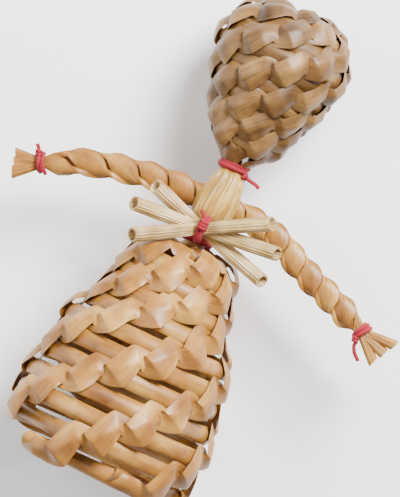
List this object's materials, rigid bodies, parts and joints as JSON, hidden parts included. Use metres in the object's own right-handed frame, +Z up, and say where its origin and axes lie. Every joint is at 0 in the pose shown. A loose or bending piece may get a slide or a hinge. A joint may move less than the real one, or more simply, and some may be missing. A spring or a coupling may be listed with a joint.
{
  "type": "straw ornament",
  "caption": "Doll plaited from straw, lying on its back: hollow drop head, bell skirt open at the hem, braided arms, straw bow and red thread ties.",
  "frame": {"origin": "middle of the footprint, at the ground that the doll lies on", "axes": "+Y from the hem to the crown of the head, +Z up out of the doll's chest, +X across the arms towards the longer one"},
  "size_m": [0.1076, 0.1272, 0.053],
  "materials": {
    "straw": "satin, natural",
    "pale_straw": "satin, natural",
    "red_thread": "matt"
  },
  "bodies": {
    "root": {"plaited_head": "straw", "plaited_skirt": "straw", "arm_braid": "straw", "bodice_straws": "pale_straw", "bow_straw_1": "pale_straw", "bow_straw_2": "pale_straw", "bow_straw_3": "pale_straw", "neck_tie": "red_thread", "waist_tie": "red_thread", "bow_tie": "red_thread", "left_wrist_tie": "red_thread", "right_wrist_tie": "red_thread"}
  },
  "joints": []
}
